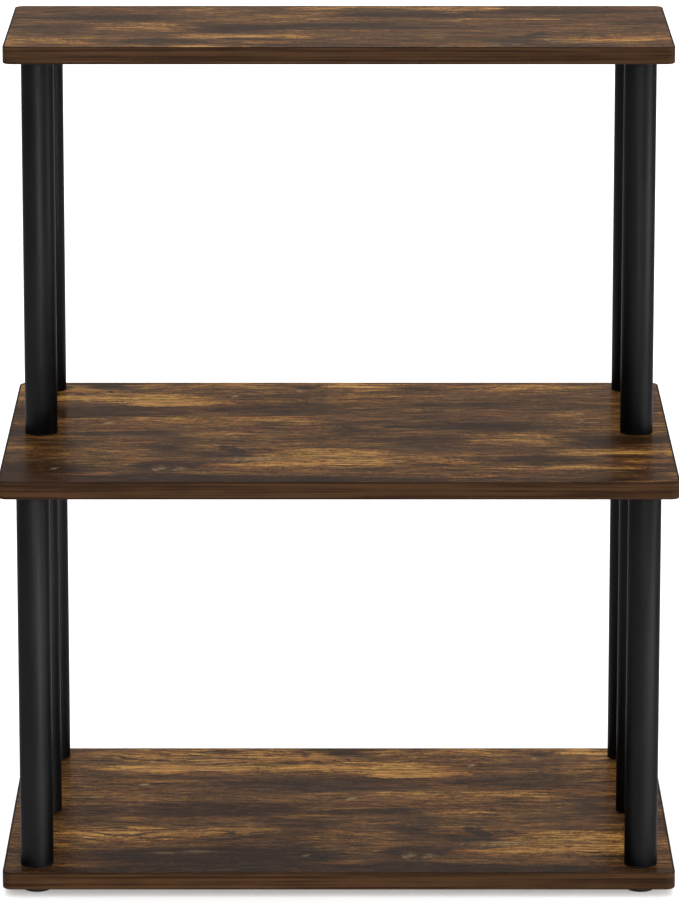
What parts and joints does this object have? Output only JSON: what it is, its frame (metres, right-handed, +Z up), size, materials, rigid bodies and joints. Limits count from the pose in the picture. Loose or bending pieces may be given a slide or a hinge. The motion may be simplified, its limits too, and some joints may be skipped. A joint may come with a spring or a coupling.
{
  "type": "kitchen shelf",
  "caption": "Open kitchen shelf: wood-print boards stacked on black tubes that screw together through the boards, with a set-back top board and small feet.",
  "frame": {"origin": "centre of the footprint, on the floor under the feet", "axes": "+X along the boards to the right as seen from the front, +Y from the open front to the back, +Z up"},
  "size_m": [0.6, 0.396, 0.7394],
  "materials": {
    "laminate_board": "satin laminate with a dark rustic wood print",
    "edge_band": "dark brown edge banding with a fine grain along it",
    "black_tube": "satin black",
    "black_plug": "satin black moulding",
    "black_foot": "matt black moulding",
    "insert_plastic": "matt moulding"
  },
  "bodies": {
    "root": {"bottom_board": "laminate_board", "middle_board": "laminate_board", "top_board": "laminate_board", "bottom_board_edge_band": "edge_band", "middle_board_edge_band": "edge_band", "top_board_edge_band": "edge_band", "lower_front_left_tube": "black_tube", "lower_front_left_tube_bottom_plug": "black_plug", "lower_front_left_tube_top_plug": "black_plug", "front_left_foot": "black_foot", "lower_front_right_tube": "black_tube", "lower_front_right_tube_bottom_plug": "black_plug", "lower_front_right_tube_top_plug": "black_plug", "front_right_foot": "black_foot", "lower_middle_left_tube": "black_tube", "lower_middle_left_tube_bottom_plug": "black_plug", "lower_middle_left_tube_top_plug": "black_plug", "middle_left_foot": "black_foot", "lower_middle_right_tube": "black_tube", "lower_middle_right_tube_bottom_plug": "black_plug", "lower_middle_right_tube_top_plug": "black_plug", "middle_right_foot": "black_foot", "lower_back_left_tube": "black_tube", "lower_back_left_tube_bottom_plug": "black_plug", "lower_back_left_tube_top_plug": "black_plug", "back_left_foot": "black_foot", "lower_back_right_tube": "black_tube", "lower_back_right_tube_bottom_plug": "black_plug", "lower_back_right_tube_top_plug": "black_plug", "back_right_foot": "black_foot", "upper_middle_left_tube": "black_tube", "upper_middle_left_tube_bottom_plug": "black_plug", "upper_middle_left_tube_top_plug": "black_plug", "upper_middle_right_tube": "black_tube", "upper_middle_right_tube_bottom_plug": "black_plug", "upper_middle_right_tube_top_plug": "black_plug", "upper_back_left_tube": "black_tube", "upper_back_left_tube_bottom_plug": "black_plug", "upper_back_left_tube_top_plug": "black_plug", "upper_back_right_tube": "black_tube", "upper_back_right_tube_bottom_plug": "black_plug", "upper_back_right_tube_top_plug": "black_plug", "middle_board_front_left_insert": "insert_plastic", "middle_board_front_right_insert": "insert_plastic", "top_board_middle_left_insert": "insert_plastic", "top_board_middle_right_insert": "insert_plastic", "top_board_back_left_insert": "insert_plastic", "top_board_back_right_insert": "insert_plastic"}
  },
  "joints": []
}
